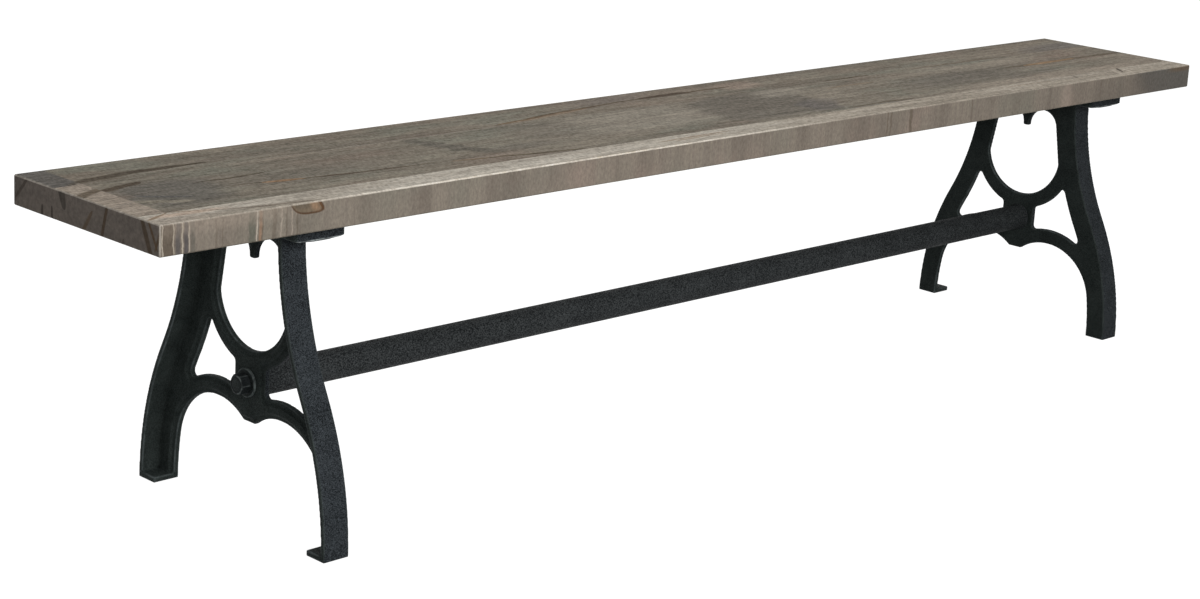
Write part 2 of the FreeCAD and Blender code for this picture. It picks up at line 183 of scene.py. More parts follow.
def surfaced(tree, shader, tone, gloss, height, strength, depth, shine):
    """A surface given its colour, its dullness, its fine relief and its shine."""
    tree.links.new(tone, shader.inputs["Base Color"])
    tree.links.new(gloss, shader.inputs["Roughness"])
    fed = {"Height": height, "Strength": strength, "Distance": depth}
    tree.links.new(made(tree, "ShaderNodeBump", fed), shader.inputs["Normal"])
    shader.inputs["Specular IOR Level"].default_value = shine


def coated(tree, shader, place, tone, sprayed, roughness, relief):
    """Dry black paint with painted shade that deepens towards the right end, a dull gloss and fine
    pimples.
    """
    # Painted shade: the colour darkens towards the bench's right end.
    share = eased(tree, parts_of(tree, place)["X"], *RIGHT_SHADE_SPAN, 0.0, RIGHT_SHADE_MOST)
    tone = between(tree, share, tone, (10, 13, 12))
    gloss = eased(tree, sprayed["Tone"], 0.0, 1.0, roughness + 0.1, roughness - 0.1)
    surfaced(tree, shader, tone, gloss, sprayed["Height"], strength=0.5, depth=relief, shine=0.02)


def link(piece):
    """A piece put into the scene."""
    bpy.context.scene.collection.objects.link(piece)
    return piece


def made_plain(piece):
    """Works a piece's modifiers into its mesh."""
    bpy.context.view_layer.update()
    settled = piece.evaluated_get(bpy.context.evaluated_depsgraph_get())
    piece.data = bpy.data.meshes.new_from_object(settled)
    piece.modifiers.clear()


def soft_casting(node, name):
    """A leg's shape as one closed skin, with the soft edges of a sand casting."""
    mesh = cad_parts[node].data.copy()
    mesh.materials.clear()
    merged = bmesh.new()
    merged.from_mesh(mesh)
    bmesh.ops.remove_doubles(merged, verts=merged.verts, dist=WELD)
    merged.to_mesh(mesh)
    merged.free()
    piece = link(bpy.data.objects.new(name, mesh))
    skin = piece.modifiers.new("skin", "REMESH")
    skin.mode = "VOXEL"
    skin.voxel_size = SKIN_SIZE
    soften = piece.modifiers.new("soften", "SMOOTH")
    soften.factor = 0.5
    soften.iterations = SKIN_PASSES
    thin = piece.modifiers.new("thin", "DECIMATE")
    thin.ratio = SKIN_KEPT
    made_plain(piece)
    piece.data.shade_smooth()
    return piece


def noted(mesh):
    """Notes at each point of a mesh: how far it stands out, and how far it faces front or back."""
    count = len(mesh.vertices)
    places = numpy.empty(count * 3, numpy.float32)
    mesh.vertices.foreach_get("co", places)
    outward = numpy.empty(count * 3, numpy.float32)
    mesh.vertices.foreach_get("normal", outward)
    pairs = numpy.empty(len(mesh.edges) * 2, numpy.int32)
    mesh.edges.foreach_get("vertices", pairs)
    places, outward, pairs = places.reshape(-1, 3), outward.reshape(-1, 3), pairs.reshape(-1, 2)
    here = numpy.concatenate((pairs[:, 0], pairs[:, 1]))
    there = numpy.concatenate((pairs[:, 1], pairs[:, 0]))
    step = places[here] - places[there]
    rise = (outward[here] * step).sum(1) / numpy.linalg.norm(step, axis=1)
    near = numpy.bincount(here, minlength=count)
    relief = numpy.bincount(here, rise, count) / near
    outside = numpy.clip(outward[:, 1] * numpy.sign(places[:, 1]) / FACING_OUT, 0, 1)
    flank = (1 - abs(outward[:, 0])) * outside
    for name, values in (("relief", relief), ("flank", flank)):
        for turn in range(NOTE_PASSES):
            values = numpy.bincount(here, values[there], count) / near
        note = mesh.attributes.new(name, "FLOAT", "POINT")
        note.data.foreach_set("value", values.astype(numpy.float32))


casting_paint, tree, shader, place = finish_named("casting_paint")
relief = put(tree, "ShaderNodeAttribute", attribute_name="relief").outputs["Fac"]
flank = put(tree, "ShaderNodeAttribute", attribute_name="flank").outputs["Fac"]
# Painted highlight on the relief's convex crests: full on the web, fainter on the flanks, broken up
# by cloudy noise.
web_highlight_share = eased(tree, flank, 0.04, 0.3, 1.0, 0.2)
flank = eased(tree, flank, 0.3, 0.9)
sprayed = group_in(tree, spray, {
    "Place": place,
    "Grains per Metre": 720.0,
    "Clouds per Metre": 30.0,
    "Speckle": eased(tree, flank, 0.0, 1.0, 0.65, 1.15),
})
web_tone = between(tree, sprayed["Tone"], (26, 31, 30), (70, 77, 75))
flank_tone = between(tree, sprayed["Tone"], (22, 25, 27), (66, 71, 75))
tone = between(tree, flank, web_tone, flank_tone)
highlight_and_wear_breakup = eased(tree, mottle(tree, place, (90, 90, 60), 3.0), 0.35, 0.65, 0.3, 1.0)
crest = product(tree, eased(tree, relief, 0.03, 0.12, 0.0, 0.72), highlight_and_wear_breakup, web_highlight_share)
tone = between(tree, crest, tone, (112, 120, 121))
# Painted shade: the relief's hollows are darkened towards near-black.
hollow_shade = eased(tree, relief, -0.02, -0.16, 0.0, 0.6)
tone = between(tree, hollow_shade, tone, (12, 14, 14))
parts = parts_of(tree, place)
# Painted highlight: a thin pale glint at one height under the front lugs, on both legs.
lug_glint = eased(tree, apart(tree, parts["Z"], GLINT_HEIGHT), 0.0011, 0.0005)
for outer, inner in GLINT_ENDS:
    lug_glint = product(tree, lug_glint, eased(tree, parts["Y"], outer, inner))
tone = between(tree, product(tree, lug_glint, highlight_and_wear_breakup), tone, (168, 174, 174))
coated(tree, shader, place, tone, sprayed, roughness=0.5, relief=0.0006)
for end in ("left", "right"):
    leg = soft_casting("leg_casting_" + end, "leg_" + end)
    noted(leg.data)
    leg.data.materials.append(casting_paint)
    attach(leg, "root")
    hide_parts("leg_casting_" + end)


# Stretcher pipe: one length of drawn steel pipe that stands between the two hubs, its sawn
# ends sunk in their sockets. It was sprayed together with the legs, so that a small bead of
# the black coat bridges the joint at each hub.
PIPE_SIDES = 96
PIPE_WALL = 0.0035
SOCKET_DEPTH = 0.003
BEAD = ((-0.0004, 0.0), (-0.0004, 0.0018), (0.0003, 0.0013), (0.0012, 0.0005), (0.0026, 0.0))
CREASE = math.radians(28)


def turned(name, outline, sides, bored=False):
    """A round piece along the bench, from its outline of places along and radii.

    A bored piece's outline closes on itself, and a solid piece has both ends capped.
    """
    shape = bmesh.new()
    turns = [2 * math.pi * step / sides for step in range(sides)]
    rings = []
    for along, radius in outline:
        ring = [(along, radius * math.cos(turn), radius * math.sin(turn)) for turn in turns]
        rings.append([shape.verts.new(spot) for spot in ring])
    pairs = list(zip(rings, rings[1:]))
    if bored:
        pairs.append((rings[-1], rings[0]))
    else:
        shape.faces.new(rings[0])
        shape.faces.new(rings[-1])
    for near, far in pairs:
        for step in range(sides):
            after = (step + 1) % sides
            shape.faces.new((near[step], near[after], far[after], far[step]))
    bmesh.ops.recalc_face_normals(shape, faces=shape.faces)
    mesh = bpy.data.meshes.new(name)
    shape.to_mesh(mesh)
    shape.free()
    mesh.shade_smooth()
    mesh.set_sharp_from_angle(angle=CREASE)
    return link(bpy.data.objects.new(name, mesh))


def raised(piece, height):
    """A round piece lifted from the floor's middle line to its own axis."""
    piece.data.transform(Matrix.Translation((0, 0, height)))
    return piece


low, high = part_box("stretcher_pipe")
hub_height = (low.z + high.z) / 2
pipe_radius = (high.z - low.z) / 2
hub_face = low.x + SOCKET_DEPTH
pipe_outline = [(low.x, pipe_radius - PIPE_WALL), (low.x, pipe_radius)]
pipe_outline += [(hub_face + along, pipe_radius + rise) for along, rise in BEAD]
pipe_outline += [(low.x + high.x - along, radius) for along, radius in reversed(pipe_outline)]
pipe = raised(turned("stretcher", pipe_outline, PIPE_SIDES, bored=True), hub_height)
pipe_paint, tree, shader, place = finish_named("pipe_paint")
sprayed = group_in(tree, spray, {"Place": place, "Grains per Metre": 600.0, "Speckle": 1.4})
tone = between(tree, sprayed["Tone"], (24, 26, 27), (69, 72, 73))
coated(tree, shader, place, tone, sprayed, roughness=0.55, relief=0.0004)
pipe.data.materials.append(pipe_paint)
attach(pipe, "root")
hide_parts("stretcher_pipe")


# Tie rod: a steel bar with a rolled thread at both ends, drawn through the pipe and both
# hubs so that the two legs clamp the pipe between them. Only its domed, painted ends show.
ROD_SIDES = 64
ROD_PITCH = 0.0023
ROD_THREAD = 0.034
ROD_THREAD_DEPTH = 0.0013
ROD_DOME = ((0.0, 0.0016), (0.0005, 0.0009))
ROD_LEAD = 0.0009
HARDWARE_COAT = {"roughness": 0.42, "relief": 0.0002}


def fine_spray(tree, place):
    """The finer speckle of the small painted hardware."""
    fed = {"Place": place, "Grains per Metre": 500.0, "Clouds per Metre": 60.0, "Speckle": 0.5}
    return group_in(tree, spray, fed)


low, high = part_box("tie_rod")
rod_radius = (high.z - low.z) / 2
rod_outline = [(low.x + along, rod_radius - fall) for along, fall in ROD_DOME]
for turn in range(int(ROD_THREAD / ROD_PITCH)):
    start = low.x + ROD_LEAD + turn * ROD_PITCH
    rod_outline.append((start, rod_radius))
    rod_outline.append((start + 0.3 * ROD_PITCH, rod_radius))
    rod_outline.append((start + 0.65 * ROD_PITCH, rod_radius - ROD_THREAD_DEPTH))
rod_outline += [(low.x + high.x - along, radius) for along, radius in reversed(rod_outline)]
rod = raised(turned("rod", rod_outline, ROD_SIDES), hub_height)
hardware_paint, tree, shader, place = finish_named("hardware_paint")
sprayed = fine_spray(tree, place)
tone = between(tree, sprayed["Tone"], (28, 32, 32), (74, 80, 79))
coated(tree, shader, place, tone, sprayed, **HARDWARE_COAT)
rod.data.materials.append(hardware_paint)
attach(rod, "root")
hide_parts("tie_rod")


# Hub washers: one flat stamped steel washer under each nut, painted over with the leg. The die
# rounds its rim, and a painted highlight makes the rim a paler grey.
WASHER_SIDES = 72
RIM_STEPS = 3
HARDWARE_HIGHLIGHT_MOTTLE = (160, 160, 160)

washers, taken, given = node_group(
    "washers_at_spots",
    "GeometryNodeTree",
    {
        "Spots": "Geometry",
        "Outer Diameter": 0.038,
        "Hole Diameter": 0.0164,
        "Thickness": 0.0035,
        "Rim Radius": 0.0008,
        "Finish": "Material",
    },
    {"Washers": "Geometry"},
)


def placed_at_spots(tree, spots, single, finish):
    """Copies of one fastener at its spots, each turned to face the way that its spot says."""
    noted_as = {"Name": "facing"}
    facing = made(tree, "GeometryNodeInputNamedAttribute", noted_as, data_type="FLOAT_VECTOR")
    turn = made(tree, "FunctionNodeAlignRotationToVector", {"Vector": facing}, axis="Z")
    fed = {"Points": spots, "Instance": single, "Rotation": turn}
    copies = made(tree, "GeometryNodeInstanceOnPoints", fed)
    real = made(tree, "GeometryNodeRealizeInstances", {"Geometry": copies})
    fed = {"Geometry": real, "Material": finish}
    return made(tree, "GeometryNodeSetMaterial", fed)


def crisp(tree, shape):
    """A shape with smooth curves, and sharp edges where its faces meet at a corner."""
    welded = made(tree, "GeometryNodeMergeByDistance", {"Geometry": shape, "Distance": WELD})
    smooth = made(tree, "GeometryNodeSetShadeSmooth", {"Geometry": welded})
    angle = made(tree, "GeometryNodeInputMeshEdgeAngle")
    corner = made(tree, "FunctionNodeCompare", {0: angle, 1: CREASE}, operation="GREATER_THAN")
    fed = {"Geometry": smooth, "Selection": corner, "Shade Smooth": False}
    return made(tree, "GeometryNodeSetShadeSmooth", fed, domain="EDGE")


outer, hole = taken["Outer Diameter"], taken["Hole Diameter"]
middle_radius = product(washers, reckon(washers, "ADD", outer, hole), 0.25)
band_width = product(washers, reckon(washers, "SUBTRACT", outer, hole), 0.5)
fed = {"Resolution": WASHER_SIDES, "Radius": middle_radius}
hoop = made(washers, "GeometryNodeCurvePrimitiveCircle", fed)
fed = {"Width": band_width, "Height": taken["Thickness"]}
section = made(washers, "GeometryNodeCurvePrimitiveQuadrilateral", fed)
fed = {"Curve": section, "Radius": taken["Rim Radius"], "Count": RIM_STEPS, "Limit Radius": True}
section = made(washers, "GeometryNodeFilletCurve", fed, mode="POLY")
ring = made(washers, "GeometryNodeCurveToMesh", {"Curve": hoop, "Profile Curve": section})
placed = placed_at_spots(washers, taken["Spots"], crisp(washers, ring), taken["Finish"])
washers.links.new(placed, given["Washers"])


def set_out(name, spots, tree, sizes):
    """The copies that a tree makes at spots, each a place and a facing, as one plain mesh."""
    mesh = bpy.data.meshes.new(name)
    mesh.from_pydata([place for place, facing in spots], [], [])
    facings = mesh.attributes.new("facing", "FLOAT_VECTOR", "POINT")
    for datum, (place, facing) in zip(facings.data, spots):
        datum.vector = facing
    piece = link(bpy.data.objects.new(name, mesh))
    maker = piece.modifiers.new("maker", "NODES")
    maker.node_group = tree
    for socket in tree.interface.items_tree:
        if socket.name in sizes:
            maker[socket.identifier] = sizes[socket.name]
    made_plain(piece)
    return piece


def hub_spots(node):
    """Where a hub fastener sits at each end, and the way outwards there."""
    spots = []
    for end, way in (("left", -1), ("right", 1)):
        low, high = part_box(node + end)
        spots.append((Vector(((low.x + high.x) / 2, 0, hub_height)), (way, 0, 0)))
    return spots


def from_axis(tree, place):
    """A point's parts across and up from the hubs' middle line, and how far from it that is."""
    parts = parts_of(tree, place)
    rise = reckon(tree, "SUBTRACT", parts["Z"], hub_height)
    squares = reckon(tree, "MULTIPLY_ADD", rise, rise, product(tree, parts["Y"], parts["Y"]))
    return parts["Y"], rise, reckon(tree, "SQRT", squares)


low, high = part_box("hub_washer_left")
rim = (high.z - low.z) / 2
washer_paint, tree, shader, place = finish_named("washer_paint")
sprayed = fine_spray(tree, place)
tone = between(tree, sprayed["Tone"], (20, 24, 24), (60, 66, 65))
# Painted highlight on the washer's rounded rim, broken up by cloudy noise.
on_rim = eased(tree, from_axis(tree, place)[-1], rim - 0.0022, rim - 0.0008)
highlight_and_wear_breakup = eased(tree, mottle(tree, place, HARDWARE_HIGHLIGHT_MOTTLE, 3.0), 0.35, 0.6, 0.25, 0.9)
tone = between(tree, product(tree, on_rim, highlight_and_wear_breakup), tone, (112, 120, 119))
coated(tree, shader, place, tone, sprayed, **HARDWARE_COAT)
hub_washers = set_out("hub_washers", hub_spots("hub_washer_"), washers, {
    "Outer Diameter": high.z - low.z,
    "Hole Diameter": 2 * rod_radius + 0.0005,
    "Thickness": high.x - low.x,
    "Rim Radius": 0.0008,
    "Finish": washer_paint,
})
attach(hub_washers, "root")
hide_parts("hub_washer_left", "hub_washer_right")


# Hub nuts: a heavy hexagon nut on each end of the tie rod, drawn up hard on its washer with two
# flats level. The corners are turned off at a shallow angle on both faces, and a painted
# highlight runs pale along the edges.
CHAMFER_SHARE = 0.485
CHAMFER_SIDES = 96
BORE_SIDES = 48
FLATS_LEVEL = math.radians(30)


def slid(tree, shape, rise):
    """A shape moved along its own axis."""
    shift = made(tree, "ShaderNodeCombineXYZ", {"Z": rise})
    fed = {"Geometry": shape, "Translation": shift}
    return made(tree, "GeometryNodeTransform", fed)


chamfered, taken, given = node_group(
    "chamfered_hexagon",
    "GeometryNodeTree",
    {"Flats": 0.024, "Height": 0.0139},
    {"Hexagon": "Geometry"},
)
height = taken["Height"]
corner_radius = product(chamfered, taken["Flats"], 1 / math.sqrt(3))
fed = {"Vertices": 6, "Radius": corner_radius, "Depth": height}
prism = made(chamfered, "GeometryNodeMeshCylinder", fed)
fed = {"Geometry": prism, "Rotation": (0.0, 0.0, FLATS_LEVEL)}
prism = made(chamfered, "GeometryNodeTransform", fed)
kept = put(chamfered, "GeometryNodeMeshBoolean", operation="INTERSECT", solver="EXACT")
chamfered.links.new(prism, kept.inputs["Mesh 2"])
narrow = product(chamfered, taken["Flats"], CHAMFER_SHARE)
wide = reckon(chamfered, "ADD", narrow, product(chamfered, height, math.sqrt(3)))
half_down = product(chamfered, height, -0.5)
for top, bottom in ((narrow, wide), (wide, narrow)):
    fed = {"Vertices": CHAMFER_SIDES, "Radius Top": top, "Radius Bottom": bottom, "Depth": height}
    cone = made(chamfered, "GeometryNodeMeshCone", fed)
    chamfered.links.new(slid(chamfered, cone, half_down), kept.inputs["Mesh 2"])
chamfered.links.new(kept.outputs[0], given["Hexagon"])

nuts, taken, given = node_group(
    "nuts_at_spots",
    "GeometryNodeTree",
    {"Spots": "Geometry", "Flats": 0.024, "Height": 0.0139, "Bore": 0.016, "Finish": "Material"},
    {"Nuts": "Geometry"},
)
fed = {"Flats": taken["Flats"], "Height": taken["Height"]}
blank = made(nuts, "GeometryNodeGroup", fed, node_tree=chamfered)
bore_radius = product(nuts, taken["Bore"], 0.5)
bore_depth = product(nuts, taken["Height"], 2.0)
fed = {"Vertices": BORE_SIDES, "Radius": bore_radius, "Depth": bore_depth}
drill = made(nuts, "GeometryNodeMeshCylinder", fed)
bored = put(nuts, "GeometryNodeMeshBoolean", operation="DIFFERENCE", solver="EXACT")
nuts.links.new(blank, bored.inputs["Mesh 1"])
nuts.links.new(drill, bored.inputs["Mesh 2"])
placed = placed_at_spots(nuts, taken["Spots"], crisp(nuts, bored.outputs[0]), taken["Finish"])
nuts.links.new(placed, given["Nuts"])

low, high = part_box("hub_nut_left")
nut_flats = min(high.z - low.z, high.y - low.y)
nut_half = nut_flats / 2
nut_face = -low.x
nut_paint, tree, shader, place = finish_named("nut_paint")
sprayed = fine_spray(tree, place)
tone = between(tree, sprayed["Tone"], (18, 21, 22), (58, 63, 64))
# Painted highlight along the hexagon's corners and round the edge of the turned-off outer face.
across, rise, radius = from_axis(tree, place)
leans = [reckon(tree, "ABSOLUTE", rise)]
for way in (0.5, -0.5):
    slant = reckon(tree, "MULTIPLY_ADD", rise, way, product(tree, across, math.sqrt(0.75)))
    leans.append(reckon(tree, "ABSOLUTE", slant))
widest = reckon(tree, "MAXIMUM", reckon(tree, "MAXIMUM", leans[0], leans[1]), leans[2])
least = reckon(tree, "MINIMUM", reckon(tree, "MINIMUM", leans[0], leans[1]), leans[2])
total = reckon(tree, "ADD", reckon(tree, "ADD", leans[0], leans[1]), leans[2])
second = reckon(tree, "SUBTRACT", reckon(tree, "SUBTRACT", total, widest), least)
corner = eased(tree, reckon(tree, "SUBTRACT", widest, second), 0.0011, 0.0003, 0.0, 0.6)
corner = product(tree, corner, eased(tree, widest, nut_half - 0.0008, nut_half - 0.0003))
rounded = eased(tree, apart(tree, radius, CHAMFER_SHARE * nut_flats), 0.0014, 0.0006)
outwards = reckon(tree, "ABSOLUTE", parts_of(tree, place)["X"])
on_face = eased(tree, outwards, nut_face - 0.0012, nut_face - 0.0006)
edges = reckon(tree, "MAXIMUM", corner, product(tree, rounded, on_face))
highlight_and_wear_breakup = eased(tree, mottle(tree, place, HARDWARE_HIGHLIGHT_MOTTLE, 3.0), 0.38, 0.6, 0.15, 0.9)
tone = between(tree, product(tree, edges, highlight_and_wear_breakup), tone, (112, 119, 118))
coated(tree, shader, place, tone, sprayed, **HARDWARE_COAT)
hub_nuts = set_out("hub_nuts", hub_spots("hub_nut_"), nuts, {
    "Flats": nut_flats,
    "Height": high.x - low.x,
    "Bore": 2 * rod_radius + 0.0002,
    "Finish": nut_paint,
})
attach(hub_nuts, "root")
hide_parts("hub_nut_left", "hub_nut_right")


# Front seat board: a narrow ripping of pale sapwood at the front of the slab, glued to the wide
# board behind it. Its front edge still shows the saw's marks and one knot, and all three boards
# are a greyed, waxed hardwood with hardly any shine, eased by hand along the slab's outer arrises.
ARRIS = 0.0016
SAWN_FROM = 0.0012
SAWN_FULL = 0.0004
BROWN = (80, 69, 56)
TAN = (124, 104, 82)
SMOKE = (98, 92, 83)
PALE = (140, 133, 121)
seat_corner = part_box("seat_board_rear")[1]

streak, taken, given = node_group(
    "mineral_streak",
    "ShaderNodeTree",
    {
        "Along": 0.0,
        "Across": 0.0,
        "Start": -0.1,
        "End": 0.1,
        "First": 0.0,
        "Middle": 0.0,
        "Last": 0.0,
        "Half Width": 0.003,
        "Softness": 0.5,
    },
    {"Share": "Float"},
)
length = reckon(streak, "SUBTRACT", taken["End"], taken["Start"])
way = reckon(streak, "DIVIDE", reckon(streak, "SUBTRACT", taken["Along"], taken["Start"]), length)
way = made(streak, "ShaderNodeClamp", {"Value": way})
bulge = product(streak, way, reckon(streak, "SUBTRACT", 1.0, way), 4.0)
rise = reckon(streak, "SUBTRACT", taken["Last"], taken["First"])
chord = reckon(streak, "MULTIPLY_ADD", rise, way, taken["First"])
centre = product(streak, reckon(streak, "ADD", taken["First"], taken["Last"]), 0.5)
bow = reckon(streak, "SUBTRACT", taken["Middle"], centre)
path = reckon(streak, "MULTIPLY_ADD", bow, bulge, chord)
away = apart(streak, taken["Across"], path)
reach = product(streak, taken["Half Width"], reckon(streak, "POWER", bulge, 0.4))
inside = product(streak, reach, reckon(streak, "SUBTRACT", 1.0, taken["Softness"]))
outside = reckon(streak, "MULTIPLY_ADD", reach, taken["Softness"], reach)
outside = reckon(streak, "ADD", outside, 0.00001)
streak.links.new(eased(streak, away, inside, outside, 1.0, 0.0), given["Share"])

patch, taken, given = node_group(
    "smoky_patch",
    "ShaderNodeTree",
    {
        "Along": 0.0,
        "Across": 0.0,
        "Middle Along": 0.0,
        "Middle Across": 0.0,
        "Half Length": 0.1,
        "Half Width": 0.03,
        "Lean": 0.0,
        "Softness": 0.4,
        "Squareness": 3.0,
    },
    {"Share": "Float"},
)
aside = reckon(patch, "SUBTRACT", taken["Across"], taken["Middle Across"])
ahead = reckon(patch, "SUBTRACT", taken["Along"], taken["Middle Along"])
ahead = reckon(patch, "SUBTRACT", ahead, product(patch, taken["Lean"], aside))
ahead = reckon(patch, "ABSOLUTE", reckon(patch, "DIVIDE", ahead, taken["Half Length"]))
aside = reckon(patch, "ABSOLUTE", reckon(patch, "DIVIDE", aside, taken["Half Width"]))
ahead = reckon(patch, "POWER", ahead, taken["Squareness"])
aside = reckon(patch, "POWER", aside, taken["Squareness"])
root = reckon(patch, "DIVIDE", 1.0, taken["Squareness"])
far_out = reckon(patch, "POWER", reckon(patch, "ADD", ahead, aside), root)
near_edge = reckon(patch, "SUBTRACT", 1.0, taken["Softness"])
far_edge = reckon(patch, "ADD", 1.0, taken["Softness"])
patch.links.new(eased(patch, far_out, near_edge, far_edge, 1.0, 0.0), given["Share"])


def swing(tree, place, stretch, *fineness):
    """Cloudy variation that swings either side of nothing."""
    return reckon(tree, "SUBTRACT", mottle(tree, place, stretch, *fineness), 0.5)


grain, taken, given = node_group(
    "greyed_grain",
    "ShaderNodeTree",
    {"Place": "Vector", "Shift": "Vector"},
    dict.fromkeys(("Figure", "Fibre", "Grit", "Tint", "Sway", "Drift"), "Float"),
)
fed = {0: taken["Place"], 1: taken["Shift"]}
shifted = made(grain, "ShaderNodeVectorMath", fed, operation="ADD")
clouds = mottle(grain, shifted, (3.2, 30, 30), 5.0, 0.62)
grain.links.new(eased(grain, clouds, 0.32, 0.7), given["Figure"])
lines = swing(grain, shifted, (7, 95, 95), 4.0, 0.62)
pores = swing(grain, shifted, (60, 190, 190), 2.0, 0.6, (3, 0, 0))
grit = swing(grain, shifted, (330, 170, 170), 2.0, 0.65)
rough = reckon(grain, "MULTIPLY_ADD", grit, 1.4, 0.5)
grain.links.new(rough, given["Grit"])
lined = reckon(grain, "ADD", lines, rough)
grain.links.new(reckon(grain, "MULTIPLY_ADD", pores, 0.9, lined), given["Fibre"])
grain.links.new(mottle(grain, shifted, (4.5, 15, 15), 4.0, 0.6), given["Tint"])
grain.links.new(swing(grain, shifted, (11, 45, 45), 4.0), given["Sway"])
grain.links.new(swing(grain, shifted, (6, 18, 18), 4.0), given["Drift"])


def tinted(tree, tone, tint):
    """A tone that leans to a mossy grey in some places, and to a rosy brown in others."""
    tone = between(tree, eased(tree, tint, 0.5, 0.72, 0.0, 0.6), tone, (112, 113, 101))
    return between(tree, eased(tree, tint, 0.5, 0.28, 0.0, 0.6), tone, (125, 109, 97))


def marked(tree, mark, along, across, tone, rows):
    """Marks of one kind over a tone, one to a row.

    A row gives the mark's own sizes in order, in millimetres apart from the lean and the
    softness, and then its share and its colour.
    """
    labels = [item.name for item in mark.interface.items_tree if item.in_out == "INPUT"]
    for *sizes, share, colour in rows:
        fed = {"Along": along, "Across": across}
        for label, size in zip(labels[2:], sizes):
            fed[label] = size if label in ("Lean", "Softness") else size / 1000
        share = product(tree, group_in(tree, mark, fed)["Share"], share)
        tone = between(tree, share, tone, colour)
    return tone


def on_ends(tree, parts):
    """Where the slab's two sawn ends are."""
    out = reckon(tree, "ABSOLUTE", parts["X"])
    return eased(tree, out, seat_corner.x - SAWN_FROM, seat_corner.x - SAWN_FULL)


def calmed(tree, figure, sawn_face):
    """The fibres of the top, and on a sawn face only a little of their grit."""
    grit = reckon(tree, "MULTIPLY_ADD", figure["Grit"], 0.6, 0.2)
    return made(tree, "ShaderNodeMix", {0: sawn_face, 2: figure["Fibre"], 3: grit})


def end_grained(tree, place, parts, tone, marks):
    """End grain over both sawn ends: a close dark ground with slanting marks across it."""
    rings = eased(tree, mottle(tree, place, (40, 24, 90), 4.0, 0.6), 0.3, 0.7)
    ground = between(tree, rings, (115, 107, 100), (125, 116, 108))
    ground = marked(tree, streak, parts["Z"], parts["Y"], ground, marks)
    return between(tree, on_ends(tree, parts), tone, ground)


def at_arris(tree, part, corner):
    """Where a part of a place has reached the rounding at the slab's corner."""
    return eased(tree, part, corner - ARRIS - 0.0002, corner - ARRIS)


def worn_and_highlit(tree, place, parts, tone):
    """Bare, rubbed wood and a painted highlight on the slab's upper arrises, most in the left half
    of the long ones.
    """
    near_top = at_arris(tree, parts["Z"], seat_corner.z)
    at_end = at_arris(tree, reckon(tree, "ABSOLUTE", parts["X"]), seat_corner.x)
    at_edge = at_arris(tree, reckon(tree, "ABSOLUTE", parts["Y"]), seat_corner.y)
    from_left = eased(tree, parts["X"], -0.95, -0.6, 0.15, 1.0)
    to_right = eased(tree, parts["X"], -0.3, 0.2, 1.0, 0.1)
    rubbed_and_lit_edge = product(tree, at_edge, from_left, to_right)
    upper = reckon(tree, "MAXIMUM", rubbed_and_lit_edge, product(tree, at_end, 0.4))
    upper = product(tree, upper, near_top)
    upright = product(tree, at_end, at_edge, 0.6)
    highlight_and_wear_breakup = eased(tree, mottle(tree, place, (70, 70, 130), 3.0), 0.3, 0.6, 0.5, 1.0)
    # Pale wood on the upper arrises, partly rubbed bare and partly a painted highlight.
    share = product(tree, reckon(tree, "MAXIMUM", upper, upright), highlight_and_wear_breakup)
    return between(tree, share, tone, (210, 202, 189))


def grained(tree, place, shift, sway, drift):
    """A place's parts, the grain there, and the ways along and across that waver with it."""
    parts = parts_of(tree, place)
    figure = group_in(tree, grain, {"Place": place, "Shift": shift})
    along = reckon(tree, "MULTIPLY_ADD", figure["Drift"], drift, parts["X"])
    across = reckon(tree, "MULTIPLY_ADD", figure["Sway"], sway, parts["Y"])
    return parts, figure, along, across


def waxed(tree, shader, tone, fibre):
    """A tone and its fibres carried to the surface, under a thin, dull wax."""
    fed = {0: 0.5, 6: tone, 7: fibre}
    fibrous = put(tree, "ShaderNodeMix", fed, data_type="RGBA", blend_type="OVERLAY").outputs[2]
    gloss = eased(tree, fibre, 0.2, 0.8, 0.8, 0.65)
    surfaced(tree, shader, fibrous, gloss, fibre, strength=0.3, depth=0.0004, shine=0.08)


def dress(board, finish):
    """A board's faces given their finish."""
    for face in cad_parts["seat_board_" + board].material_slots:
        face.material = finish


sapwood, tree, shader, place = finish_named("pale_sapwood")
grown = grained(tree, place, (0.0, 3.0, 0.0), sway=0.012, drift=0.05)
parts, figure, along, across = grown
pale = between(tree, figure["Figure"], (158, 150, 138), (187, 180, 168))
dull = between(tree, figure["Figure"], (139, 130, 117), (163, 154, 141))
tone = between(tree, eased(tree, along, -0.15, 0.15), pale, dull)
tone = marked(tree, patch, along, across, tone, [
    (-930, -145, 110, 12, 0.0, 0.5, 0.8, (136, 127, 114)),
    (-1050, -140, 60, 14, 0.0, 0.6, 0.5, (146, 134, 121)),
    (-1005, -121, 45, 7, 0.0, 0.5, 0.6, (176, 152, 133)),
    (-760, -114, 70, 5, 0.0, 0.6, 0.6, (146, 138, 126)),
    (-420, -118, 90, 6, 0.0, 0.6, 0.5, (150, 142, 131)),
    (30, -146, 150, 10, 0.0, 0.6, 0.4, (134, 125, 112)),
    (330, -136, 120, 9, 0.0, 0.6, 0.5, (134, 125, 112)),
    (740, -112, 60, 8, 0.0, 0.6, 0.5, (134, 126, 115)),
    (860, -125, 26, 16, 0.3, 0.5, 0.5, (130, 121, 109)),
])
tone = marked(tree, streak, parts["X"], across, tone, [
    (-1072, -1026, -129, -121, -108, 2.2, 0.5, 0.85, TAN),
    (-1030, -985, -108, -110, -122, 2.4, 0.6, 0.6, TAN),
    (-985, -895, -120, -134, -142, 3.0, 0.6, 0.7, (112, 102, 90)),
    (-925, -835, -138, -141, -149, 3.0, 0.6, 0.75, (108, 97, 84)),
    (-235, -85, -128, -124, -126, 1.9, 0.6, 0.8, TAN),
    (-205, -100, -133, -131, -132, 1.5, 0.6, 0.7, TAN),
    (560, 700, -116, -118, -121, 1.7, 0.6, 0.5, TAN),
])
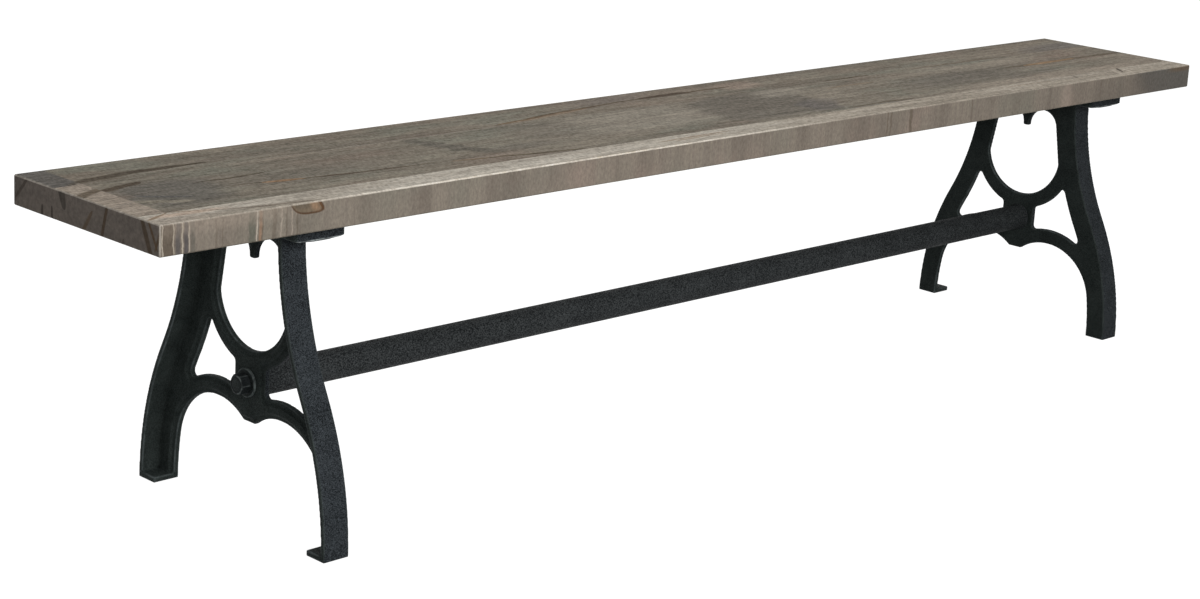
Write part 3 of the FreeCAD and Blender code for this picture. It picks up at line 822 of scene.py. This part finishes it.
tone = marked(tree, streak, parts["Y"], parts["X"], tone, [
    (-150, -98, 560, 574, 590, 4.0, 0.6, 0.5, (168, 159, 146)),
    (-150, -98, 640, 652, 664, 3.0, 0.6, 0.5, (170, 160, 147)),
    (-128, -102, 766, 772, 778, 3.0, 0.5, 0.7, (100, 90, 80)),
    (-146, -98, 870, 882, 894, 3.5, 0.5, 0.7, (176, 166, 152)),
    (-133, -102, 890, 901, 913, 3.6, 0.35, 0.95, (64, 56, 48)),
    (-146, -98, 903, 914, 925, 3.0, 0.5, 0.7, (178, 168, 154)),
])

saw = mottle(tree, place, (190, 1.5, 5), 3.0, 0.62)
broad_saw = mottle(tree, place, (20, 1.0, 4.0), 3.0, 0.6, (5, 0, 0))
cast = mottle(tree, place, (9, 1.0, 6.0), 3.0, 0.6, (9, 0, 0))
sawn = between(tree, eased(tree, saw, 0.3, 0.7), (125, 116, 106), (135, 126, 114))
sawn = between(tree, eased(tree, broad_saw, 0.4, 0.7, 0.0, 0.75), sawn, (111, 102, 93))
sawn = between(tree, eased(tree, cast, 0.5, 0.72, 0.0, 0.6), sawn, (121, 117, 106))
sawn = between(tree, eased(tree, cast, 0.5, 0.28, 0.0, 0.75), sawn, (141, 126, 115))
drop = reckon(tree, "SUBTRACT", parts["Z"], seat_corner.z)
wander = swing(tree, place, (25, 1.0, 60), 3.0)
wavy = reckon(tree, "MULTIPLY_ADD", wander, 0.006, parts["X"])
sawn = marked(tree, streak, drop, wavy, sawn, [
    (-60, 30, -1056, -1056, -1056, 9.0, 0.3, 0.9, (96, 86, 75)),
    (-60, 25, -1063, -1063, -1063, 0.8, 0.5, 0.7, (190, 180, 165)),
    (-60, 20, -1048, -1048, -1049, 0.8, 0.5, 0.7, (180, 170, 154)),
    (-60, 16, -1042, -1042, -1041, 3.2, 0.4, 0.85, (88, 84, 82)),
    (-60, 20, -1036, -1036, -1036, 1.0, 0.4, 0.8, (178, 168, 152)),
    (-60, 20, -1031, -1031, -1031, 2.6, 0.4, 0.85, (84, 80, 80)),
    (-60, 20, -1027, -1027, -1027, 0.8, 0.4, 0.8, (172, 162, 148)),
    (-60, 20, -1022, -1022, -1022, 3.0, 0.5, 0.7, (102, 98, 90)),
    (-60, 25, -989, -989, -990, 1.4, 0.5, 0.5, (98, 88, 78)),
    (-60, 25, -980, -980, -981, 1.0, 0.5, 0.5, (98, 88, 78)),
    (-60, 20, -937, -938, -939, 4.6, 0.3, 0.85, (98, 97, 87)),
    (-60, 25, -931, -931, -931, 0.9, 0.4, 0.85, (184, 174, 160)),
    (-60, 25, -926, -926, -927, 2.2, 0.6, 0.55, (150, 116, 90)),
    (-60, 25, -923, -923, -923, 0.8, 0.4, 0.6, (96, 82, 68)),
    (-60, 20, -906, -906, -907, 3.0, 0.6, 0.6, (104, 94, 83)),
    (-60, 20, -896, -896, -897, 1.2, 0.5, 0.6, (166, 155, 142)),
    (-60, 20, -888, -888, -889, 1.2, 0.5, 0.6, (96, 87, 77)),
    (-60, 20, -880, -880, -881, 1.0, 0.5, 0.6, (164, 152, 140)),
    (-60, 20, -872, -872, -873, 1.4, 0.5, 0.6, (98, 89, 78)),
    (-60, 25, 236, 236, 237, 1.6, 0.5, 0.6, (98, 87, 76)),
    (-60, 25, 244, 244, 245, 2.2, 0.6, 0.6, (102, 92, 81)),
    (-60, 25, 292, 292, 291, 3.4, 0.6, 0.7, (94, 84, 72)),
    (-60, 25, 445, 445, 446, 1.6, 0.6, 0.5, (98, 88, 78)),
    (-60, 25, 700, 700, 700, 12, 0.4, 0.6, (148, 136, 124)),
    (-60, 25, 798, 798, 799, 1.5, 0.6, 0.5, (98, 88, 78)),
])
sawn = marked(tree, patch, parts["X"], drop, sawn, [
    (-965, -2, 95, 12, 0.0, 0.8, 0.55, (150, 138, 125)),
    (1010, -18, 100, 60, -0.6, 0.35, 0.85, (88, 86, 82)),
    (860, -30, 80, 30, 0.0, 0.7, 0.5, (104, 96, 88)),
    (1045, -2, 40, 6, 0.0, 0.5, 0.7, (104, 88, 72)),
    (-858, -3, 23, 11.5, -0.7, 0.06, 0.95, (82, 62, 46)),
    (-859, -2.2, 20.5, 9.8, -0.7, 0.1, 0.95, (114, 101, 85)),
    (-866, -2, 10, 5, -0.5, 0.6, 0.8, (98, 88, 76)),
    (-846, -5, 6, 6, -0.5, 0.6, 0.7, (150, 122, 97)),
    (-838, -4, 1.4, 7, -0.7, 0.5, 0.8, (96, 66, 44)),
])
on_front = eased(tree, parts["Y"], SAWN_FROM - seat_corner.y, SAWN_FULL - seat_corner.y)
tone = between(tree, on_front, tone, sawn)
tone = end_grained(tree, place, parts, tone, [
    (392, 456, -141, -126, -111, 4.6, 0.35, 0.9, (84, 71, 57)),
    (411, 448, -148, -138, -127, 2.4, 0.4, 0.85, (94, 76, 56)),
    (410, 442, -143, -150, -157, 2.4, 0.5, 0.75, (94, 76, 56)),
])
sawn_face = reckon(tree, "MAXIMUM", on_front, on_ends(tree, parts))
waxed(tree, shader, worn_and_highlit(tree, place, parts, tone), calmed(tree, figure, sawn_face))
dress("front", sapwood)


# Middle seat board: the slab's widest, flat-sawn, with brown mineral streaks and large smoky
# patches in the heartwood. It is glued between its neighbours and screwed to the legs' front lugs.
BAND_LINE = -1.0272
BAND_BLUR = 0.0005


def banded(tree, parts, tone, band_tone):
    """A tone that gives way to another in the narrow band at the slab's left end."""
    band = eased(tree, parts["X"], BAND_LINE + BAND_BLUR, BAND_LINE - BAND_BLUR, 0.0, 0.9)
    return between(tree, band, tone, band_tone)


heartwood, tree, shader, place = finish_named("smoky_heartwood")
grown = grained(tree, place, (0.0, 0.0, 0.0), sway=0.016, drift=0.11)
parts, figure, along, across = grown
tone = between(tree, figure["Figure"], (104, 97, 86), (126, 118, 105))
tone = tinted(tree, tone, figure["Tint"])
tone = marked(tree, patch, along, across, tone, [
    (-140, 0, 150, 60, 0.0, 0.5, 0.6, PALE),
    (-318, 12, 55, 50, 0.0, 0.6, 0.45, SMOKE),
    (-962, -30, 66, 60, 0.1, 0.3, 0.9, (92, 88, 81)),
    (-1000, -60, 15, 18, -1.2, 0.35, 0.9, (126, 119, 105)),
    (-750, -20, 120, 30, 0.0, 0.6, 0.5, SMOKE),
    (-503, 5, 20, 62, -0.5, 0.25, 0.9, (93, 88, 79)),
    (-408, -48, 60, 15, 0.5, 0.35, 0.65, SMOKE),
    (100, -14, 116, 80, 0.3, 0.16, 0.9, SMOKE),
    (190, -60, 40, 34, 0.2, 0.3, 0.75, (92, 87, 83)),
    (580, -24, 130, 38, 0.0, 0.5, 0.85, SMOKE),
    (770, -53, 40, 16, 0.5, 0.4, 0.7, SMOKE),
    (695, -63, 34, 16, 0.5, 0.4, 0.6, SMOKE),
    (700, 34, 140, 16, 0.0, 0.6, 0.6, (138, 129, 116)),
    (800, -100, 330, 24, 0.0, 0.6, 0.75, (140, 130, 117)),
    (260, -10, 50, 40, 0.2, 0.5, 0.5, (134, 126, 113)),
    (205, 36, 55, 24, 0.0, 0.5, 0.65, (138, 131, 119)),
])
tone = marked(tree, streak, parts["X"], across, tone, [
    (-1045, -962, 16, 27, 36, 7.0, 0.3, 0.95, (68, 57, 44)),
    (-1010, -950, -19, -40, -57, 4.5, 0.5, 0.85, (80, 78, 76)),
    (-912, -800, 1, 0, 4, 2.6, 0.4, 0.9, (74, 64, 52)),
    (-885, -580, -33, -56, -64, 2.6, 0.4, 0.95, (70, 58, 46)),
    (-840, -780, -42, -45, -50, 3.2, 0.5, 0.9, (136, 108, 82)),
    (-550, -345, -71, -88, -103, 2.8, 0.4, 0.9, (78, 66, 50)),
    (-560, -500, -70, -73, -80, 4.0, 0.7, 0.4, TAN),
    (205, 365, -98, -99, -99, 2.6, 0.5, 0.9, (76, 64, 52)),
    (300, 420, 22, 24, 26, 3.0, 0.8, 0.5, TAN),
    (720, 1080, -5, -8, -7, 6.0, 0.5, 0.8, BROWN),
    (780, 930, -6, -8, -8, 5.0, 0.6, 0.8, (134, 109, 82)),
])
band_tone = between(tree, figure["Figure"], (138, 127, 114), (154, 142, 129))
band_tone = marked(tree, streak, parts["X"], across, band_tone, [
    (-1080, -1020, -2, 18, 33, 8.5, 0.35, 0.9, (84, 72, 57)),
    (-1085, -1015, -60, -50, -40, 3.0, 0.7, 0.4, (146, 137, 127)),
])
tone = banded(tree, parts, tone, band_tone)
tone = end_grained(tree, place, parts, tone, [
    (392, 456, -34, -42, -52, 3.0, 0.35, 0.9, (82, 68, 54)),
    (396, 432, 8, -5, -17, 3.6, 0.5, 0.75, (98, 82, 64)),
    (421, 472, 42, 50, 64, 7.0, 0.25, 0.9, (78, 72, 66)),
    (400, 412, -79, -80, -81, 2.4, 0.5, 0.7, (78, 70, 62)),
])
waxed(tree, shader, worn_and_highlit(tree, place, parts, tone), calmed(tree, figure, on_ends(tree, parts)))
dress("middle", heartwood)


# Rear seat board: a straighter-grained board along the back of the slab, a shade browner, with
# a few long dark streaks. It is glued to the wide board and takes the screws of the rear lugs.
backwood, tree, shader, place = finish_named("brown_backwood")
grown = grained(tree, place, (4.0, 1.0, 0.0), sway=0.014, drift=0.09)
parts, figure, along, across = grown
tone = between(tree, figure["Figure"], (102, 94, 83), (124, 115, 102))
tone = tinted(tree, tone, figure["Tint"])
tone = marked(tree, patch, along, across, tone, [
    (195, 112, 45, 24, 0.4, 0.5, 0.6, (144, 128, 115)),
    (-760, 96, 90, 12, 0.6, 0.6, 0.5, (98, 90, 80)),
    (-560, 76, 110, 10, 0.0, 0.6, 0.5, (102, 94, 84)),
    (-80, 128, 70, 18, 0.3, 0.6, 0.4, (100, 92, 90)),
    (1000, 84, 80, 26, 0.6, 0.6, 0.7, (97, 92, 88)),
])
tone = marked(tree, streak, parts["X"], across, tone, [
    (-1090, -830, 62, 85, 88, 7.5, 0.3, 0.95, (68, 59, 47)),
    (-356, -30, 71, 96, 109, 3.2, 0.4, 0.95, (74, 60, 46)),
    (-345, -150, 74, 84, 98, 5.0, 0.6, 0.4, (140, 116, 92)),
    (-310, -265, 62, 58, 50, 4.0, 0.4, 0.8, (72, 60, 48)),
    (-815, -250, 66, 66, 66, 1.6, 0.5, 0.6, (150, 142, 130)),
    (-35, 85, 108, 111, 110, 6.5, 0.35, 0.95, (70, 58, 46)),
    (65, 175, 110, 111, 113, 3.2, 0.4, 0.9, (76, 62, 48)),
    (345, 460, 67, 68, 67, 3.8, 0.4, 0.9, (74, 62, 50)),
    (570, 805, 68, 67, 68, 4.5, 0.8, 0.6, BROWN),
])
past_line = reckon(tree, "SUBTRACT", parts["X"], BAND_LINE)
slanted = reckon(tree, "MULTIPLY_ADD", past_line, -0.75, across)
band_tone = between(tree, figure["Figure"], (83, 80, 76), (93, 89, 84))
band_tone = between(tree, eased(tree, slanted, 0.086, 0.078), band_tone, (84, 77, 68))
band_tone = between(tree, eased(tree, slanted, 0.075, 0.07), band_tone, (128, 119, 108))
tone = banded(tree, parts, tone, band_tone)
tone = end_grained(tree, place, parts, tone, [
    (410, 470, 150, 146, 140, 12.0, 0.5, 0.55, (88, 82, 77)),
    (414, 452, 150, 131, 116, 3.2, 0.4, 0.85, (78, 70, 63)),
    (396, 419, 89, 89, 89, 2.4, 0.3, 0.9, (68, 61, 55)),
    (402, 421, 67, 68, 68, 2.0, 0.3, 0.9, (68, 61, 55)),
])
waxed(tree, shader, worn_and_highlit(tree, place, parts, tone), calmed(tree, figure, on_ends(tree, parts)))
dress("rear", backwood)


# Seat washers: one small zinc-plated washer under each screw head, lying in the lug's
# spot face.
zinc, tree, shader, place = finish_named("zinc_plate")
brush = mottle(tree, place, (300, 300, 900), 3.0)
haze = mottle(tree, place, (90, 90, 90), 2.0)
tone = between(tree, haze, (138, 139, 137), (176, 176, 171))
tree.links.new(tone, shader.inputs["Base Color"])
tree.links.new(eased(tree, brush, 0.2, 0.8, 0.3, 0.5), shader.inputs["Roughness"])
shader.inputs["Metallic"].default_value = 1.0


def screw_spots(node, level):
    """The two fasteners under each end of the seat, at a share of the node's height, heads down."""
    spots = []
    for end in ("left", "right"):
        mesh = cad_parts[node + end].data
        for front in (True, False):
            ring = [v.co for v in mesh.vertices if (v.co.y < 0) == front]
            lowest = Vector([min(c[axis] for c in ring) for axis in range(3)])
            highest = Vector([max(c[axis] for c in ring) for axis in range(3)])
            middle = (lowest + highest) / 2
            middle.z = lowest.z + level * (highest.z - lowest.z)
            spots.append((middle, (0, 0, -1)))
    return spots


low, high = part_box("seat_washers_left")
seat_washers = set_out("seat_washers", screw_spots("seat_washers_", 0.5), washers, {
    "Outer Diameter": 0.016,
    "Hole Diameter": 0.0068,
    "Thickness": high.z - low.z,
    "Rim Radius": 0.0003,
    "Finish": zinc,
})
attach(seat_washers, "root")
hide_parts("seat_washers_left", "seat_washers_right")


# Lag screws: hexagon-headed wood screws driven up through the lugs into the boards, one to
# a lug, with a coarse thread that stops short of the head.
HEAD_HEIGHT = 0.0044
HEAD_FLATS = 0.0111
SHANK_DIAMETER = 0.00635
SHANK_SIDES = 32
TIP_GAP = 0.0002
THREAD_LENGTH = 0.024
THREAD_PITCH = 0.0025
RIDGE = 0.0004

screws, taken, given = node_group(
    "lag_screws_at_spots",
    "GeometryNodeTree",
    {
        "Spots": "Geometry",
        "Head Flats": HEAD_FLATS,
        "Head Height": HEAD_HEIGHT,
        "Shank Diameter": SHANK_DIAMETER,
        "Shank Length": 0.04,
        "Thread Length": THREAD_LENGTH,
        "Thread Pitch": THREAD_PITCH,
        "Finish": "Material",
    },
    {"Screws": "Geometry"},
)
fed = {"Flats": taken["Head Flats"], "Height": taken["Head Height"]}
head = made(screws, "GeometryNodeGroup", fed, node_tree=chamfered)
head = slid(screws, head, product(screws, taken["Head Height"], 0.5))
plain_length = reckon(screws, "SUBTRACT", taken["Shank Length"], taken["Thread Length"])
members = [head]
for share, length in ((0.4, taken["Shank Length"]), (0.5, plain_length)):
    thickness = product(screws, taken["Shank Diameter"], share)
    fed = {"Vertices": SHANK_SIDES, "Radius": thickness, "Depth": length}
    shank = made(screws, "GeometryNodeMeshCylinder", fed)
    members.append(slid(screws, shank, product(screws, length, -0.5)))
rounds = reckon(screws, "DIVIDE", taken["Thread Length"], taken["Thread Pitch"])
crest = reckon(screws, "SUBTRACT", product(screws, taken["Shank Diameter"], 0.5), RIDGE)
fed = {"Resolution": 24, "Rotations": rounds, "Start Radius": crest, "End Radius": crest}
winding = made(screws, "GeometryNodeCurveSpiral", {**fed, "Height": taken["Thread Length"]})
ridge = made(screws, "GeometryNodeCurvePrimitiveCircle", {"Resolution": 4, "Radius": RIDGE})
fed = {"Curve": winding, "Profile Curve": ridge, "Fill Caps": True}
thread = made(screws, "GeometryNodeCurveToMesh", fed)
members.append(slid(screws, thread, product(screws, taken["Shank Length"], -1.0)))
whole = put(screws, "GeometryNodeJoinGeometry")
for member in members:
    screws.links.new(member, whole.inputs[0])
placed = placed_at_spots(screws, taken["Spots"], crisp(screws, whole.outputs[0]), taken["Finish"])
screws.links.new(placed, given["Screws"])

low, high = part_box("lag_screws_left")
screw_height = high.z - low.z
under_head = screw_spots("lag_screws_", HEAD_HEIGHT / screw_height)
lag_screws = set_out("lag_screws", under_head, screws, {
    "Head Flats": HEAD_FLATS,
    "Head Height": HEAD_HEIGHT,
    "Shank Diameter": SHANK_DIAMETER,
    "Shank Length": screw_height - HEAD_HEIGHT - TIP_GAP,
    "Thread Length": THREAD_LENGTH,
    "Thread Pitch": THREAD_PITCH,
    "Finish": zinc,
})
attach(lag_screws, "root")
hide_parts("lag_screws_left", "lag_screws_right")


# Studio: a plain white floor that keeps a soft shadow and is clear from below, one broad lamp
# high at the front left and one overhead, an even white sky, and the camera off the near end.
FLOOR_REACH = 9
FLOOR_GLOW = (0.94, 0.94, 0.94, 1)
FLOOR_SHADOW = (0.27, 0.27, 0.27, 1)
FLOOR_BOUNCE = (0.3, 0.3, 0.3, 1)
SKY_FILL = 0.36
CAMERA_PLACE = (-2.6110, -2.3625, 1.1144)


def in_view(tree):
    """1 for what the camera sees, straight or in a reflection, and 0 for light on its way."""
    rays = put(tree, "ShaderNodeLightPath").outputs
    seen = reckon(tree, "MAXIMUM", rays["Is Camera Ray"], rays["Is Glossy Ray"])
    return reckon(tree, "MAXIMUM", seen, rays["Is Transmission Ray"])


floor_mesh = bpy.data.meshes.new("floor")
corners = ((-1, -1, 0), (1, -1, 0), (1, 1, 0), (-1, 1, 0))
floor_mesh.from_pydata([FLOOR_REACH * Vector(spot) for spot in corners], [], [(0, 1, 2, 3)])
floor = link(bpy.data.objects.new("floor", floor_mesh))
floor_finish = bpy.data.materials.new("floor_white")
floor_finish.use_nodes = True
tree = floor_finish.node_tree
tree.nodes.clear()
bounce = made(tree, "ShaderNodeBsdfDiffuse", {"Color": FLOOR_BOUNCE})
glow = made(tree, "ShaderNodeEmission", {"Color": FLOOR_GLOW, "Strength": 1.0})
shadowed = made(tree, "ShaderNodeBsdfDiffuse", {"Color": FLOOR_SHADOW})
bright = made(tree, "ShaderNodeAddShader", {0: glow, 1: shadowed})
surface = made(tree, "ShaderNodeMixShader", {0: in_view(tree), 1: bounce, 2: bright})
below = put(tree, "ShaderNodeNewGeometry").outputs["Backfacing"]
clear = made(tree, "ShaderNodeBsdfTransparent")
surface = made(tree, "ShaderNodeMixShader", {0: below, 1: surface, 2: clear})
put(tree, "ShaderNodeOutputMaterial", {"Surface": surface})
floor.data.materials.append(floor_finish)

sky = bpy.data.worlds.new("studio_sky")
bpy.context.scene.world = sky
sky.use_nodes = True
tree = sky.node_tree
tree.nodes.clear()
level = eased(tree, in_view(tree), 0.0, 1.0, SKY_FILL, 1.0)
backdrop = made(tree, "ShaderNodeBackground", {"Color": (1, 1, 1, 1), "Strength": level})
put(tree, "ShaderNodeOutputWorld", {"Surface": backdrop})


def softbox(name, place, aim, wide, deep, watts):
    """A broad, plain lamp that hangs at a place and faces a point."""
    light = bpy.data.lights.new(name, "AREA")
    light.shape = "RECTANGLE"
    light.size = wide
    light.size_y = deep
    light.energy = watts
    lamp = link(bpy.data.objects.new(name, light))
    lamp.location = place
    lamp.rotation_euler = (Vector(aim) - lamp.location).to_track_quat("-Z", "Y").to_euler()


softbox("front_lamp", (-0.9, -3.4, 1.9), (-0.6, 0, 0.3), wide=2.4, deep=1.8, watts=106)
softbox("top_lamp", (0.8, 0.3, 3.2), (0.3, 0, 0.3), wide=3.4, deep=2.2, watts=30)

camera_data = bpy.data.cameras.new("camera")
camera_data.sensor_fit = "HORIZONTAL"
camera_data.sensor_width = 36
camera_data.lens = 73.125
camera_data.shift_y = -0.06
camera_data.clip_end = 50
camera = link(bpy.data.objects.new("camera", camera_data))
bearing = math.radians(45.480)
dip = math.radians(13.702)
roll = math.radians(3.109)
ahead = math.cos(dip)
sight = Vector((math.sin(bearing) * ahead, math.cos(bearing) * ahead, -math.sin(dip)))
level_right = sight.cross(Vector((0, 0, 1))).normalized()
level_up = level_right.cross(sight)
right = math.cos(roll) * level_right + math.sin(roll) * level_up
up = math.cos(roll) * level_up - math.sin(roll) * level_right
turn = Matrix((right, up, -sight)).transposed().to_4x4()
camera.matrix_world = Matrix.Translation(CAMERA_PLACE) @ turn
bpy.context.scene.camera = camera
bpy.context.scene.view_settings.view_transform = "Standard"
